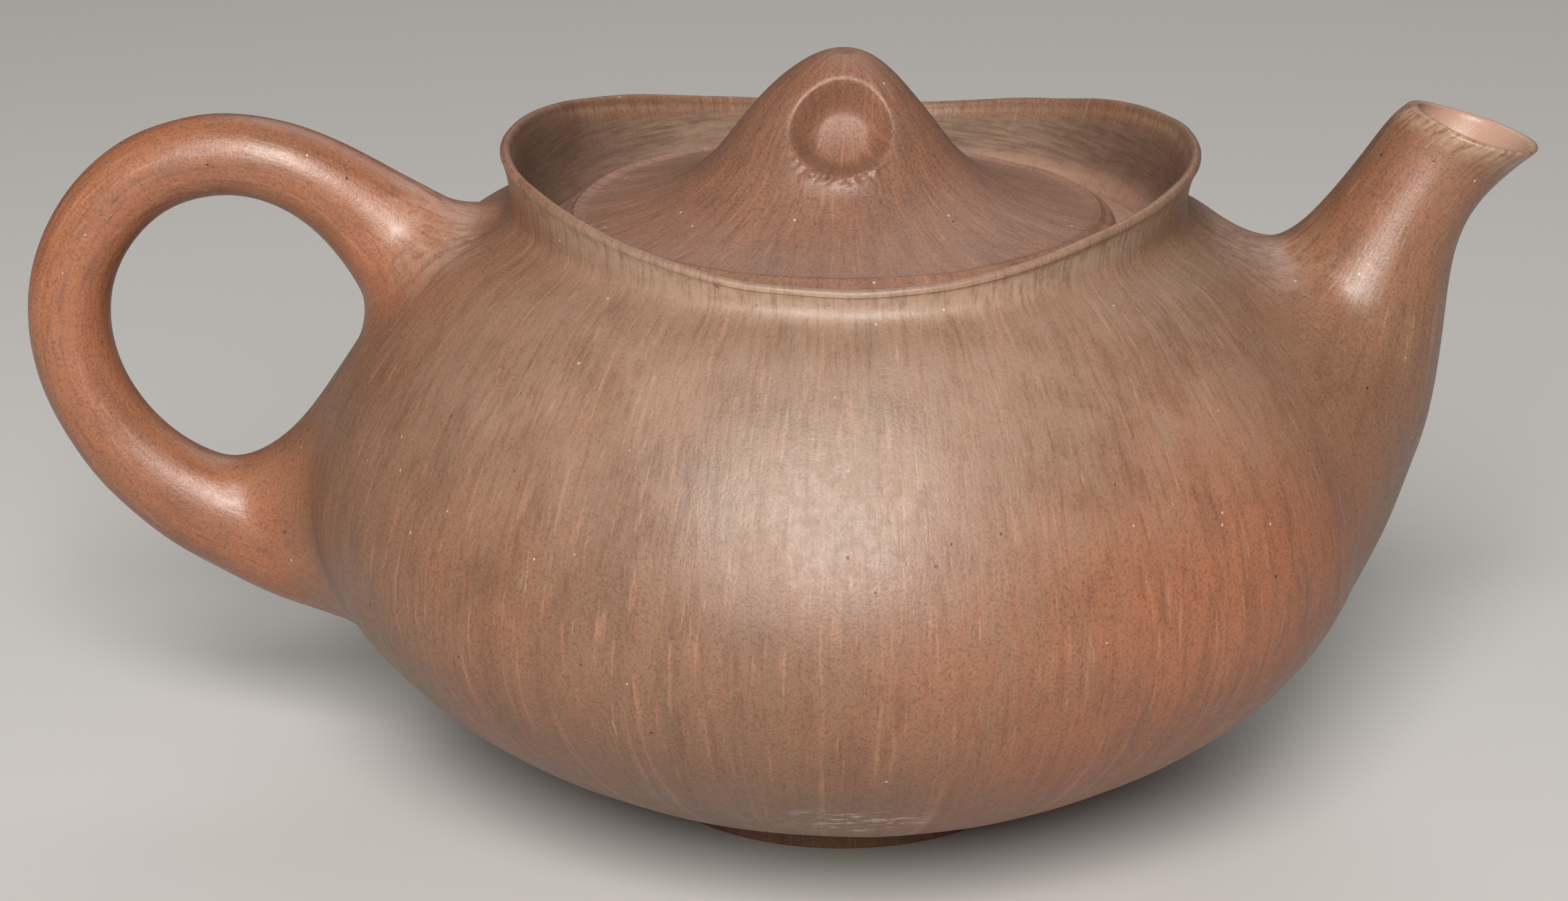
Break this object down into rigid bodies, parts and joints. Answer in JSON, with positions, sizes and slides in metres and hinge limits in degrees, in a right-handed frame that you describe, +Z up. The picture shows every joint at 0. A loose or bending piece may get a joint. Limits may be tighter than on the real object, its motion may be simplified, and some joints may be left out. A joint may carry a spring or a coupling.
{
  "type": "clay teapot",
  "caption": "Small round clay teapot with a saddle-rimmed neck, loop handle, tapered spout and a lift-off lid with a dimpled hump knob.",
  "frame": {"origin": "on the pot's axis at table level, in the plane of the foot ring", "axes": "+X towards the spout, -X towards the handle, +Z up"},
  "size_m": [0.1592, 0.1134, 0.0814],
  "materials": {
    "pot_clay": "unglazed, burnished, satin",
    "lid_clay": "unglazed, burnished, satin"
  },
  "bodies": {
    "pot": {"body_wall": "pot_clay", "base_disc": "pot_clay", "foot_ring": "pot_clay", "neck_collar": "pot_clay", "lid_seat": "pot_clay", "spout": "pot_clay", "spout_strainer": "pot_clay", "handle": "pot_clay"},
    "lid": {"lid_plate": "lid_clay", "lid_flange": "lid_clay", "knob": "lid_clay"}
  },
  "joints": [
    {"name": "lid_lift", "type": "slide", "parent": "pot", "child": "lid", "axis": [0, 0, 1], "range_m": [0, 0.045]}
  ]
}
